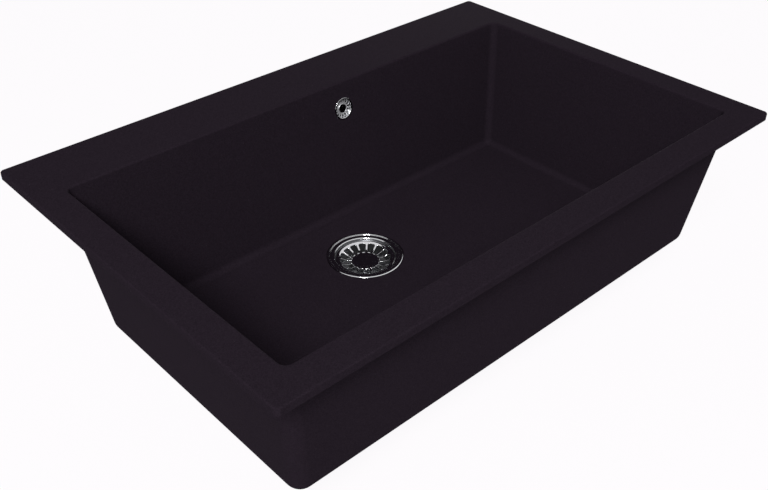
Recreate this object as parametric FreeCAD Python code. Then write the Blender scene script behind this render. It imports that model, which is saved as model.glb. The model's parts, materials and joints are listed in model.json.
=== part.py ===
import FreeCAD, Part
import math
import os
from FreeCAD import Placement, Rotation, Vector

# Drop-in stone kitchen sink with a slotted strainer waste and a piped overflow.
# Millimetres. Origin at the centre of the rim, in the plane of the rim's underside.
# +X is to the user's right, +Y to the back, +Z up.

# Stone casting
RIM_LENGTH = 838.0
RIM_WIDTH = 559.0
RIM_THICKNESS = 11.0
RIM_CORNER_RADIUS = 6.0
RIM_TOP_EDGE_RADIUS = 2.0
RIM_BOTTOM_EDGE_RADIUS = 1.0
# How far the rim stands out past the bowl's outer wall, measured at the rim's top
RIM_OVERHANG = 30.0
REAR_LEDGE_OVERHANG = 84.0
WALL_DRAFT_DEG = 7.0
# Walls are measured level, the floor upright
WALL = 10.0
FLOOR = 10.0
BOWL_DEPTH = 202.0
OUTER_CORNER_RADIUS = 20.0
OUTER_FOOT_RADIUS = 18.0
INNER_FOOT_RADIUS = 10.0
MOUTH_EDGE_RADIUS = 3.0
UNDER_RIM_RADIUS = 6.0
# The floor falls from a level strip beside the walls to the drain
FLOOR_FALL = 4.0
FLOOR_BORDER = 2.0

# Drain hole, its recess and the boss under it
DRAIN_X = -16.0
DRAIN_Y = 59.0
DRAIN_SEAT = 10.2
DRAIN_CHAMFER = 1.2
RECESS_MARGIN = 1.0
RECESS_LEDGE = 2.0
BOSS_MARGIN = 5.0
BOSS_DRAFT = 2.0
BOSS_ROOT_RADIUS = 3.0

# Drain flange, a steel pressing with a beaded rim, a shelf for the basket, a cup and a well
FLANGE_RADIUS = 55.0
# How far the flange reaches past the drain hole
FLANGE_OVERLAP = 10.0
FLANGE_SHEET = 1.0
# The flange's flat lies below the floor, its bead stands a little above it
FLANGE_SUNK = 0.8
BEAD = 1.2
BEAD_WIDTH = 4.0
BEAD_CROWN = 2.8
BEAD_SKIRT_GAP = 0.5
FLANGE_EDGE_RADIUS = 0.3
SHELF_WIDTH = 3.1
CUP_DEPTH = 26.7
CUP_TAPER = 2.0
WELL_RADIUS = 19.0
WELL_DEPTH = 10.0
CROWN_BEND = 0.6
BEAD_ROOT_BEND = 1.5
LIP_BEND = 2.0
SHELF_BEND = 0.5
CUP_BEND = 2.5
WELL_BEND = 1.0
WELL_WINDOWS = 6
WELL_WINDOW_INNER = 9.5
WELL_BAR = 3.0
WELL_WINDOW_MARGIN = 2.5

# Gaskets of the drain
FLANGE_GASKET = 1.0
FLANGE_GASKET_MARGIN = 0.5
FLOOR_GASKET = 3.0
FLOOR_GASKET_WIDTH = 11.0
FLOOR_GASKET_MARGIN = 2.0

# Strainer basket with its stem and stopper
BASKET_SHEET = 1.0
BASKET_SUNK = 3.2
BASKET_PLAY = 0.6
BASKET_RING = 3.4
BASKET_DROP = 6.0
# Level width of the slope, from the ring to where it would meet the disc without the bend
BASKET_SLOPE = 11.7
BASKET_SHOULDER_BEND = 6.9
BASKET_DISH_BEND = 20.0
BASKET_EDGE_RADIUS = 0.3
BASKET_WINDOWS = 16
BASKET_BAR = 2.6
BASKET_WINDOW_INNER = 20.2
BASKET_WINDOW_MARGIN = 2.6
WINDOW_CORNER_RADIUS = 0.8
STEM_FOOT_RADIUS = 9.0
STEM_FOOT = 1.5
STEM_RADIUS = 4.0
STEM_COLLAR_RADIUS = 6.5
STEM_COLLAR = 1.5
STEM_TAIL_RADIUS = 3.0
STEM_TIP_CHAMFER = 1.0
STEM_ENGAGEMENT = 12.0
STEM_PLAY = 0.06
STOPPER = 3.5
STOPPER_BEVEL = 1.2
STOPPER_OVERLAP = 5.0
STOPPER_GAP = 0.3
STOPPER_PLATE = 1.2
STOPPER_PLATE_MARGIN = 4.0
STEM_NUT = 3.0
STEM_NUT_FLATS = 10.0

# Drain screw and its thread insert
SCREW_HEAD_RADIUS = 8.0
SCREW_HEAD = 3.0
SCREW_RADIUS = 5.0
SCREW_SLOT_WIDTH = 2.5
SCREW_SLOT_DEPTH = 1.5
SCREW_BORE_SPARE = 3.0
SCREW_TIP = 2.0
INSERT_WALL = 2.0
INSERT_FLANGE = 2.0
INSERT_LIP = 1.5
INSERT_LENGTH = 12.0

# Drain body, moulded plastic
BODY_WALL = 3.0
BODY_CUP_GAP = 1.0
BODY_FLANGE = 4.0
BODY_FLANGE_MARGIN = 2.0
BODY_NUT_GAP = 3.0
BODY_INLET_MARGIN = 2.0
BODY_FUNNEL = 12.0
OUTLET_RADIUS = 23.9
OUTLET_WALL = 3.9
OUTLET_LENGTH = 28.0
OUTLET_CHAMFER = 1.0
HUB_WALL = 3.5
HUB_LENGTH = 16.0
SPIDER_ARMS = 3
SPIDER_ARM = 3.0
SPIDER_HEIGHT = 10.0
BODY_RIBS = 5
BODY_RIB = 2.5
BODY_RIB_HEIGHT = 18.0

# Overflow rosette, a steel pressing with a domed rim on the back wall, and its broad screw
OVERFLOW_X = 52.0
OVERFLOW_BELOW_RIM = 41.0
ROSETTE_RADIUS = 16.4
ROSETTE_SHEET = 0.8
ROSETTE_RIM = 2.8
ROSETTE_EDGE_LIFT = 0.6
ROSETTE_CROWN = 1.2
ROSETTE_CROWN_LIFT = 1.7
ROSETTE_EDGE_RADIUS = 0.25
ROSETTE_DEPTH = 3.4
ROSETTE_TAPER = 0.5
ROSETTE_BEND = 0.4
ROSETTE_WINDOWS = 16
ROSETTE_BAR = 1.7
ROSETTE_WINDOW_INNER = 9.8
ROSETTE_WINDOW_MARGIN = 0.3
ROSETTE_WINDOW_CORNER = 0.3
ROSETTE_HOLE_PLAY = 1.2
OVERFLOW_SCREW_RADIUS = 2.5
OVERFLOW_SCREW_HEAD_RADIUS = 6.8
OVERFLOW_SCREW_HEAD = 1.4
OVERFLOW_SCREW_EDGE_RADIUS = 0.5
OVERFLOW_SCREW_SLOT_WIDTH = 1.2
OVERFLOW_SCREW_SLOT_DEPTH = 0.9

# Overflow elbow behind the wall, moulded plastic
OVERFLOW_GASKET = 3.0
OVERFLOW_GASKET_WIDTH = 6.0
ELBOW_WALL = 2.5
ELBOW_FLANGE = 4.0
ELBOW_FLANGE_MARGIN = 2.0
ELBOW_RADIUS = 20.0
ELBOW_BACK_RADIUS = 5.0
ELBOW_SPIGOT_MARGIN = 0.6
ELBOW_SPIGOT_REACH = 46.0
ELBOW_BOSS_WALL = 2.5
ELBOW_BOSS = 18.0
OVERFLOW_INSERT_WALL = 1.5
OVERFLOW_INSERT = 10.0

# Overflow pipe with its union nuts and seals
PIPE_RADIUS = 10.0
PIPE_WALL = 1.5
PIPE_BEND_RADIUS = 40.0
SOCKET_PLAY = 0.3
SOCKET_DEPTH = 16.0
PIPE_END_GAP = 2.0
SPIGOT_WALL = 3.2
INLET_SPIGOT_REACH = 28.0
NUT_WALL = 3.7
NUT_PLAY = 0.3
NUT_GRIP = 12.0
NUT_LIP = 3.0
NUT_FLUTES = 10
NUT_FLUTE_RADIUS = 3.0
NUT_FLUTE_DEPTH = 1.0
PIPE_SEAL = 6.0
PIPE_SEAL_COLLAR = 2.0
PIPE_SEAL_TAPER = 1.6

# Fits
SEAT_PLAY = 0.1
HOLE_PLAY = 0.4
CUT_SPARE = 5.0
MATCH = 1e-4
HEXAGON = 6

# Places worked out from the sizes above
UP = Vector(0, 0, 1)
ORIGIN = Vector(0, 0, 0)
SLOPE = math.tan(math.radians(WALL_DRAFT_DEG))
DRAIN_AXIS = Vector(DRAIN_X, DRAIN_Y, 0)
FLOOR_EDGE_Z = RIM_THICKNESS - BOWL_DEPTH
DRAIN_FLOOR_Z = FLOOR_EDGE_Z - FLOOR_FALL
FLANGE_FLAT_Z = DRAIN_FLOOR_Z - FLANGE_SUNK
RECESS_Z = FLANGE_FLAT_Z - FLANGE_SHEET - FLANGE_GASKET
BOSS_Z = RECESS_Z - DRAIN_SEAT
BODY_TOP_Z = BOSS_Z - FLOOR_GASKET
DRAIN_HOLE_RADIUS = FLANGE_RADIUS - FLANGE_OVERLAP
CUP_RADIUS = DRAIN_HOLE_RADIUS - HOLE_PLAY - FLANGE_SHEET
SHELF_Z = FLANGE_FLAT_Z - BASKET_SUNK - BASKET_SHEET
STOPPER_SEAT_Z = FLANGE_FLAT_Z - CUP_DEPTH
WELL_FLOOR_Z = STOPPER_SEAT_Z - WELL_DEPTH
SCREW_HEAD_Z = WELL_FLOOR_Z + SCREW_HEAD
FLOOR_GASKET_INNER = DRAIN_HOLE_RADIUS + FLOOR_GASKET_MARGIN
FLOOR_GASKET_OUTER = FLOOR_GASKET_INNER + FLOOR_GASKET_WIDTH
BODY_BORE = CUP_RADIUS - SHELF_WIDTH + FLANGE_SHEET + BODY_CUP_GAP
BODY_RADIUS = BODY_BORE + BODY_WALL
SPIGOT_RADIUS = PIPE_RADIUS + SOCKET_PLAY + SPIGOT_WALL
NUT_RADIUS = SPIGOT_RADIUS + NUT_PLAY + NUT_WALL
BODY_FLANGE_Z = BODY_TOP_Z - BODY_FLANGE
INLET_Z = BODY_FLANGE_Z - BODY_NUT_GAP - NUT_RADIUS
BARREL_END_Z = INLET_Z - SPIGOT_RADIUS - BODY_INLET_MARGIN
OUTLET_Z = BARREL_END_Z - BODY_FUNNEL
OUTLET_END_Z = OUTLET_Z - OUTLET_LENGTH
OUTLET_BORE = OUTLET_RADIUS - OUTLET_WALL
INSERT_RADIUS = SCREW_RADIUS + INSERT_WALL

# The overflow's own frame: +Z out of the back wall's inner face into the bowl, +Y up along the wall
DRAFT = math.radians(WALL_DRAFT_DEG)
BACK_WALL_Y = RIM_WIDTH / 2 - REAR_LEDGE_OVERHANG - WALL - OVERFLOW_BELOW_RIM * SLOPE
OVERFLOW_ORIGIN = Vector(OVERFLOW_X, BACK_WALL_Y, RIM_THICKNESS - OVERFLOW_BELOW_RIM)
INTO_BOWL = Vector(0, -math.cos(DRAFT), math.sin(DRAFT))
DOWN_WALL = Vector(0, -math.sin(DRAFT), -math.cos(DRAFT))
OVERFLOW_FRAME = Placement(OVERFLOW_ORIGIN, Rotation(Vector(1, 0, 0), -DOWN_WALL, INTO_BOWL, "ZXY"))
WALL_SQUARE = WALL * math.cos(DRAFT)
ROSETTE_CUP_RADIUS = ROSETTE_RADIUS - ROSETTE_RIM
OVERFLOW_HOLE_RADIUS = ROSETTE_CUP_RADIUS + ROSETTE_HOLE_PLAY
ELBOW_FACE = -WALL_SQUARE - OVERFLOW_GASKET
ELBOW_LENGTH = 2 * (SPIGOT_RADIUS + ELBOW_FLANGE + ELBOW_SPIGOT_MARGIN)
ELBOW_BACK = ELBOW_FACE - ELBOW_LENGTH
SPIGOT_AXIS = ELBOW_FACE - ELBOW_LENGTH / 2
OVERFLOW_INSERT_RADIUS = OVERFLOW_SCREW_RADIUS + OVERFLOW_INSERT_WALL
BOSS_FRONT = ELBOW_BACK + ELBOW_WALL + ELBOW_BOSS

# The pipe's two straight runs meet at PIPE_KNEE
ELBOW_CENTRE = OVERFLOW_FRAME.multVec(Vector(0, 0, SPIGOT_AXIS))
PIPE_KNEE = ELBOW_CENTRE + DOWN_WALL * ((ELBOW_CENTRE.z - INLET_Z) / math.cos(DRAFT))
INLET_CENTRE = Vector(DRAIN_X, DRAIN_Y, INLET_Z)
TO_PIPE = (PIPE_KNEE - INLET_CENTRE).normalize()
ELBOW_MOUTH = ELBOW_CENTRE + DOWN_WALL * ELBOW_SPIGOT_REACH
INLET_MOUTH = INLET_CENTRE + TO_PIPE * (BODY_RADIUS + INLET_SPIGOT_REACH)


def path_edges(points, radii, closed=False):
    """Edges of a path of straight runs, with a tangent arc of the given radius at each corner."""
    count = len(points)
    corners = []
    for i, (point, radius) in enumerate(zip(points, radii)):
        if radius == 0 or (not closed and i in (0, count - 1)):
            corners.append((point, None, point))
            continue
        back = (points[i - 1] - point).normalize()
        ahead = (points[(i + 1) % count] - point).normalize()
        half = back.getAngle(ahead) / 2
        middle = point + (back + ahead).normalize() * (radius / math.sin(half) - radius)
        reach = radius / math.tan(half)
        corners.append((point + back * reach, middle, point + ahead * reach))
    edges = []
    for i in range(count):
        start, middle, end = corners[i]
        if middle is not None:
            edges.append(Part.Arc(start, middle, end).toShape())
        if closed or i < count - 1:
            following = corners[(i + 1) % count][0]
            if end.distanceToPoint(following) > MATCH:
                edges.append(Part.makeLine(end, following))
    return edges


def section(pairs, radii=None):
    """Closed face in the XZ plane from (radius, height) pairs."""
    points = [Vector(r, 0, z) for r, z in pairs]
    edges = path_edges(points, radii or [0] * len(points), closed=True)
    return Part.Face(Part.Wire(edges))


def turned(pairs, radii=None):
    """Solid of revolution about the Z axis."""
    return section(pairs, radii).revolve(ORIGIN, UP, 360)


def ring(inner, outer, bottom, top):
    """Plain ring about the Z axis."""
    return turned([(inner, bottom), (outer, bottom), (outer, top), (inner, top)])


def pressed_sheet(pairs, bends, thickness, edge_radius):
    """Pressed sheet turned about Z: pairs run inwards along its upper face, bends are inside radii."""
    upper = [Vector(r, 0, z) for r, z in pairs]
    runs = [(b - a).normalize() for a, b in zip(upper, upper[1:])]
    normals = [Vector(-run.z, 0, run.x) for run in runs]
    lower = [upper[0] + normals[0] * thickness]
    upper_radii = [edge_radius]
    lower_radii = [edge_radius]
    for i, bend in enumerate(bends):
        first, second = normals[i], normals[i + 1]
        lower.append(upper[i + 1] + (first + second) * (thickness / (1 + first.dot(second))))
        falls = runs[i].z * runs[i + 1].x - runs[i].x * runs[i + 1].z < 0
        upper_radii.append(bend + thickness if falls else bend)
        lower_radii.append(bend if falls else bend + thickness)
    lower.append(upper[-1] + normals[-1] * thickness)
    upper_radii.append(0)
    lower_radii.append(0)
    points = upper + lower[::-1]
    edges = path_edges(points, upper_radii + lower_radii[::-1], closed=True)
    return Part.Face(Part.Wire(edges)).revolve(ORIGIN, UP, 360)


def windows(inner, outer, bar, count, corner, bottom, top):
    """Ring of upright cutters that leaves parallel bars between its windows."""
    half = math.pi / count
    offset = bar / 2 / math.cos(half)
    near = inner * math.tan(half) - offset
    far = outer * math.tan(half) - offset
    points = [Vector(x, y, bottom) for x, y in ((inner, -near), (outer, -far), (outer, far), (inner, near))]
    face = Part.Face(Part.Wire(path_edges(points, [corner] * len(points), closed=True)))
    cutter = face.extrude(UP * (top - bottom))
    return Part.makeCompound([turned_copy(cutter, 360 * i / count) for i in range(count)])


def turned_copy(shape, degrees):
    """Copy of a shape turned about the Z axis."""
    copy = shape.copy()
    copy.rotate(ORIGIN, UP, degrees)
    return copy


def placed(shape, placement):
    """Copy of a shape moved from its own frame by a placement."""
    copy = shape.copy()
    copy.Placement = placement.multiply(copy.Placement)
    return copy


def at_drain(shape):
    """Copy of a shape moved from the Z axis to the drain's axis."""
    return placed(shape, Placement(DRAIN_AXIS, Rotation()))


def along(shape, origin, direction):
    """Copy of a shape whose Z axis is moved to start at origin and point along direction."""
    return placed(shape, Placement(origin, Rotation(UP, direction)))


def rod(start, direction, radius, length):
    """Cylinder from a point along a direction."""
    return Part.makeCylinder(radius, length, start, direction)


def slot_cutter(head_radius, width, depth, top):
    """Cutter for a driver's slot across a screw head about Z whose upper face is at top."""
    half = head_radius + CUT_SPARE
    return Part.makeBox(2 * half, width, depth + CUT_SPARE, Vector(-half, -width / 2, top - depth))


def level_edges(shape, z):
    """Edges that lie wholly at one height."""
    return [e for e in shape.Edges if abs(e.BoundBox.ZMin - z) < MATCH and abs(e.BoundBox.ZMax - z) < MATCH]


def rising_edges(shape):
    """Edges that join two heights."""
    return [e for e in shape.Edges if e.BoundBox.ZLength > MATCH]


def rectangle(x_min, x_max, y_min, y_max, z):
    """Corner points of a level rectangle, counterclockwise."""
    return [Vector(x, y, z) for x, y in ((x_min, y_min), (x_max, y_min), (x_max, y_max), (x_min, y_max))]


def bowl_outline(inset):
    """X and Y limits of the bowl at the rim's top, moved in from the outer wall by inset."""
    side = RIM_LENGTH / 2 - RIM_OVERHANG - inset
    front = -RIM_WIDTH / 2 + RIM_OVERHANG + inset
    back = RIM_WIDTH / 2 - REAR_LEDGE_OVERHANG - inset
    return -side, side, front, back


def shrunk(limits, inset):
    """Outline limits moved in by inset on all sides."""
    x_min, x_max, y_min, y_max = limits
    return x_min + inset, x_max - inset, y_min + inset, y_max - inset


def drafted_block(limits, bottom_z, corner_radius, foot_radius):
    """Block with drafted sides that hangs from the rim's top, rounded at its corners and foot."""
    inset = (RIM_THICKNESS - bottom_z) * SLOPE
    top = rectangle(*limits, RIM_THICKNESS)
    bottom = rectangle(*shrunk(limits, inset), bottom_z)
    sides = zip(top, top[1:] + top[:1], bottom[1:] + bottom[:1], bottom)
    outlines = [top, bottom] + [list(corners) for corners in sides]
    faces = [Part.Face(Part.makePolygon(points + points[:1])) for points in outlines]
    block = Part.makeSolid(Part.makeShell(faces))
    block = block.makeFillet(corner_radius, rising_edges(block))
    return block.makeFillet(foot_radius, level_edges(block, bottom_z))


def floor_fall():
    """Cutter for the shallow fall from the floor's level border to the drain's recess."""
    inset = BOWL_DEPTH * SLOPE + INNER_FOOT_RADIUS + FLOOR_BORDER
    corners = rectangle(*shrunk(bowl_outline(WALL), inset), FLOOR_EDGE_Z)
    edge = Part.makePolygon(corners + corners[:1])
    radius = FLANGE_RADIUS + RECESS_MARGIN + RECESS_LEDGE
    bearings = [math.atan2(c.y - DRAIN_Y, c.x - DRAIN_X) for c in corners]
    arcs = []
    for start, end in zip(bearings, bearings[1:] + bearings[:1]):
        sweep = (end - start) % (2 * math.pi)
        angles = (start, start + sweep / 2, start + sweep)
        points = [Vector(DRAIN_X + radius * math.cos(a), DRAIN_Y + radius * math.sin(a), DRAIN_FLOOR_Z)
                  for a in angles]
        arcs.append(Part.Arc(*points).toShape())
    return Part.makeLoft([edge, Part.Wire(arcs)], True, True)


def make_sink_bowl():
    """Stone casting: rim, drafted bowl, falling floor, drain boss and overflow hole."""
    rim = Part.makeBox(RIM_LENGTH, RIM_WIDTH, RIM_THICKNESS, Vector(-RIM_LENGTH / 2, -RIM_WIDTH / 2, 0))
    rim = rim.makeFillet(RIM_CORNER_RADIUS, rising_edges(rim))
    rim = rim.makeFillet(RIM_BOTTOM_EDGE_RADIUS, level_edges(rim, 0))
    rim = rim.makeFillet(RIM_TOP_EDGE_RADIUS, level_edges(rim, RIM_THICKNESS))
    bottom_z = FLOOR_EDGE_Z - FLOOR
    tub = drafted_block(bowl_outline(0), bottom_z, OUTER_CORNER_RADIUS, OUTER_FOOT_RADIUS)
    casting = rim.fuse(tub).removeSplitter()
    neck = [e for e in level_edges(casting, 0) if abs(e.CenterOfMass.x) < RIM_LENGTH / 2 - RIM_OVERHANG
            and -RIM_WIDTH / 2 + RIM_OVERHANG < e.CenterOfMass.y < RIM_WIDTH / 2 - REAR_LEDGE_OVERHANG]
    casting = casting.makeFillet(UNDER_RIM_RADIUS, neck)
    boss_radius = FLOOR_GASKET_OUTER + BOSS_MARGIN
    boss = Part.makeCone(boss_radius, boss_radius + BOSS_DRAFT, bottom_z - BOSS_Z, Vector(0, 0, BOSS_Z))
    casting = casting.fuse(at_drain(boss)).removeSplitter()
    root = [e for e in level_edges(casting, bottom_z)
            if e.CenterOfMass.distanceToPoint(DRAIN_AXIS + UP * bottom_z) < boss_radius]
    casting = casting.makeFillet(BOSS_ROOT_RADIUS, root)
    inner_corner = OUTER_CORNER_RADIUS - WALL
    cavity = drafted_block(bowl_outline(WALL), FLOOR_EDGE_Z, inner_corner, INNER_FOOT_RADIUS)
    casting = casting.cut(cavity)
    mouth_x = RIM_LENGTH / 2 - RIM_OVERHANG
    mouth = [e for e in level_edges(casting, RIM_THICKNESS) if abs(e.BoundBox.XMin) < mouth_x
             and abs(e.BoundBox.XMax) < mouth_x and e.BoundBox.YMin > -RIM_WIDTH / 2 + RIM_OVERHANG]
    casting = casting.makeFillet(MOUTH_EDGE_RADIUS, mouth)
    casting = casting.cut(floor_fall())
    cut_top = FLOOR_EDGE_Z + CUT_SPARE
    cut_bottom = BOSS_Z - CUT_SPARE
    recess = Part.makeCylinder(FLANGE_RADIUS + RECESS_MARGIN, cut_top - RECESS_Z, Vector(0, 0, RECESS_Z))
    hole = Part.makeCylinder(DRAIN_HOLE_RADIUS, cut_top - cut_bottom, Vector(0, 0, cut_bottom))
    chamfer = Part.makeCone(DRAIN_HOLE_RADIUS, DRAIN_HOLE_RADIUS + DRAIN_CHAMFER, DRAIN_CHAMFER,
                            Vector(0, 0, RECESS_Z - DRAIN_CHAMFER))
    for cutter in (recess, hole, chamfer):
        casting = casting.cut(at_drain(cutter))
    overflow = rod(Vector(0, 0, CUT_SPARE), -UP, OVERFLOW_HOLE_RADIUS, WALL_SQUARE + 2 * CUT_SPARE)
    return casting.cut(placed(overflow, OVERFLOW_FRAME))


def make_drain_flange():
    """Pressed flange with a bead, basket shelf, cup and well with a windowed floor."""
    flat = FLANGE_FLAT_Z
    shelf_inner = CUP_RADIUS - SHELF_WIDTH
    pairs = [(FLANGE_RADIUS, RECESS_Z + BEAD_SKIRT_GAP), (FLANGE_RADIUS, flat + BEAD),
             (FLANGE_RADIUS - BEAD_CROWN, flat + BEAD), (FLANGE_RADIUS - BEAD_WIDTH, flat),
             (CUP_RADIUS, flat), (CUP_RADIUS, SHELF_Z), (shelf_inner, SHELF_Z),
             (shelf_inner - CUP_TAPER, STOPPER_SEAT_Z), (WELL_RADIUS, STOPPER_SEAT_Z),
             (WELL_RADIUS, WELL_FLOOR_Z), (SCREW_RADIUS + HOLE_PLAY, WELL_FLOOR_Z)]
    bends = [CROWN_BEND, CROWN_BEND, BEAD_ROOT_BEND, LIP_BEND, SHELF_BEND, SHELF_BEND, CUP_BEND,
             WELL_BEND, WELL_BEND]
    flange = pressed_sheet(pairs, bends, FLANGE_SHEET, FLANGE_EDGE_RADIUS)
    cutters = windows(WELL_WINDOW_INNER, WELL_RADIUS - WELL_WINDOW_MARGIN, WELL_BAR, WELL_WINDOWS,
                      WINDOW_CORNER_RADIUS, WELL_FLOOR_Z - CUT_SPARE, WELL_FLOOR_Z + FLANGE_SHEET)
    return at_drain(flange.cut(cutters))


def make_flange_gasket():
    """Soft ring between the recess and the flange's flat, clear of its bends."""
    inner = CUP_RADIUS + FLANGE_SHEET + LIP_BEND + FLANGE_GASKET_MARGIN
    outer = FLANGE_RADIUS - BEAD_WIDTH - FLANGE_GASKET_MARGIN
    return at_drain(ring(inner, outer, RECESS_Z, RECESS_Z + FLANGE_GASKET))


def make_floor_gasket():
    """Rubber ring between the drain boss and the drain body."""
    return at_drain(ring(FLOOR_GASKET_INNER, FLOOR_GASKET_OUTER, BODY_TOP_Z, BOSS_Z))


def basket_top_z():
    """Height of the basket's upper face at its ring."""
    return SHELF_Z + BASKET_SHEET


def make_strainer_basket():
    """Pressed dish, rounded from its ring down to a flat disc, with a ring of windows in the slope."""
    top = basket_top_z()
    outer = CUP_RADIUS - BASKET_PLAY
    ring_inner = outer - BASKET_RING
    disc_z = top - BASKET_DROP
    pairs = [(outer, top), (ring_inner, top), (ring_inner - BASKET_SLOPE, disc_z), (0, disc_z)]
    basket = pressed_sheet(pairs, [BASKET_SHOULDER_BEND, BASKET_DISH_BEND], BASKET_SHEET, BASKET_EDGE_RADIUS)
    cutters = windows(BASKET_WINDOW_INNER, ring_inner - BASKET_WINDOW_MARGIN, BASKET_BAR, BASKET_WINDOWS,
                      WINDOW_CORNER_RADIUS, disc_z - CUT_SPARE, top + CUT_SPARE)
    half_pitch = 180 / BASKET_WINDOWS
    return at_drain(basket.cut(turned_copy(cutters, half_pitch)))


def stopper_levels():
    """Heights of the stopper's underside, its top and the stem collar's underside."""
    underside = STOPPER_SEAT_Z + STOPPER_GAP
    return underside, underside + STOPPER, underside + STOPPER + STOPPER_PLATE


def make_basket_stem():
    """Turned stem: foot under the disc, shaft, collar and the tail that the drain screw guides."""
    top = basket_top_z() - BASKET_DROP - BASKET_SHEET
    collar = stopper_levels()[2]
    tip = SCREW_HEAD_Z - STEM_ENGAGEMENT
    pairs = [(0, top), (STEM_FOOT_RADIUS, top), (STEM_FOOT_RADIUS, top - STEM_FOOT),
             (STEM_RADIUS, top - STEM_FOOT), (STEM_RADIUS, collar + STEM_COLLAR),
             (STEM_COLLAR_RADIUS, collar + STEM_COLLAR), (STEM_COLLAR_RADIUS, collar),
             (STEM_TAIL_RADIUS, collar), (STEM_TAIL_RADIUS, tip + STEM_TIP_CHAMFER),
             (STEM_TAIL_RADIUS - STEM_TIP_CHAMFER, tip), (0, tip)]
    return at_drain(turned(pairs))


def make_stopper_plate():
    """Steel washer that backs the stopper."""
    outer = WELL_RADIUS + STOPPER_OVERLAP - STOPPER_PLATE_MARGIN
    bottom = stopper_levels()[1]
    return at_drain(ring(STEM_TAIL_RADIUS + SEAT_PLAY, outer, bottom, bottom + STOPPER_PLATE))


def make_stopper_seal():
    """Rubber stopper with a bevelled lower edge."""
    bottom, top, _ = stopper_levels()
    outer = WELL_RADIUS + STOPPER_OVERLAP
    inner = STEM_TAIL_RADIUS + SEAT_PLAY
    pairs = [(inner, bottom), (outer - STOPPER_BEVEL, bottom), (outer, bottom + STOPPER_BEVEL),
             (outer, top), (inner, top)]
    return at_drain(turned(pairs))


def make_stem_nut():
    """Hexagon nut under the stopper."""
    top = stopper_levels()[0]
    corner = STEM_NUT_FLATS / 2 / math.cos(math.pi / HEXAGON)
    angles = [2 * math.pi * i / HEXAGON for i in range(HEXAGON + 1)]
    points = [Vector(corner * math.cos(a), corner * math.sin(a), top - STEM_NUT) for a in angles]
    nut = Part.Face(Part.makePolygon(points)).extrude(UP * STEM_NUT)
    hole = rod(Vector(0, 0, top + CUT_SPARE), -UP, STEM_TAIL_RADIUS + SEAT_PLAY, STEM_NUT + 2 * CUT_SPARE)
    return at_drain(nut.cut(hole))


def make_drain_screw():
    """Slotted screw with a bore that guides the basket's stem."""
    top = SCREW_HEAD_Z
    tip = OUTLET_Z - INSERT_FLANGE - SCREW_TIP
    bore = STEM_TAIL_RADIUS + STEM_PLAY
    bore_end = top - STEM_ENGAGEMENT - SCREW_BORE_SPARE
    pairs = [(bore, top), (SCREW_HEAD_RADIUS, top), (SCREW_HEAD_RADIUS, WELL_FLOOR_Z),
             (SCREW_RADIUS, WELL_FLOOR_Z), (SCREW_RADIUS, tip), (0, tip), (0, bore_end), (bore, bore_end)]
    slot = slot_cutter(SCREW_HEAD_RADIUS, SCREW_SLOT_WIDTH, SCREW_SLOT_DEPTH, top)
    return at_drain(turned(pairs).cut(slot))


def make_screw_insert():
    """Flanged brass insert that the drain screw turns into, pulled up against the hub."""
    bore = SCREW_RADIUS + SEAT_PLAY
    pairs = [(bore, OUTLET_Z - INSERT_FLANGE), (INSERT_RADIUS + INSERT_LIP, OUTLET_Z - INSERT_FLANGE),
             (INSERT_RADIUS + INSERT_LIP, OUTLET_Z), (INSERT_RADIUS, OUTLET_Z),
             (INSERT_RADIUS, OUTLET_Z + INSERT_LENGTH), (bore, OUTLET_Z + INSERT_LENGTH)]
    return at_drain(turned(pairs))


def spigot_cutters(mouth, outwards, depth):
    """Waterway and pipe socket of a spigot, cut in from its mouth."""
    bore = rod(mouth + outwards * CUT_SPARE, outwards * -1, PIPE_RADIUS - PIPE_WALL, depth + CUT_SPARE)
    socket = rod(mouth + outwards * CUT_SPARE, outwards * -1, PIPE_RADIUS + SOCKET_PLAY,
                 SOCKET_DEPTH + CUT_SPARE)
    return bore.fuse(socket)


def body_rib():
    """Gusset between the drain body's flange and its barrel."""
    reach = FLOOR_GASKET_OUTER
    inside = BODY_RADIUS - BODY_WALL / 2
    pairs = [(inside, BODY_FLANGE_Z + BODY_FLANGE / 2), (reach, BODY_FLANGE_Z + BODY_FLANGE / 2),
             (reach, BODY_FLANGE_Z), (BODY_RADIUS, BODY_FLANGE_Z - BODY_RIB_HEIGHT),
             (inside, BODY_FLANGE_Z - BODY_RIB_HEIGHT)]
    rib = section(pairs).extrude(Vector(0, BODY_RIB, 0))
    rib.translate(Vector(0, -BODY_RIB / 2, 0))
    return rib


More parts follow.
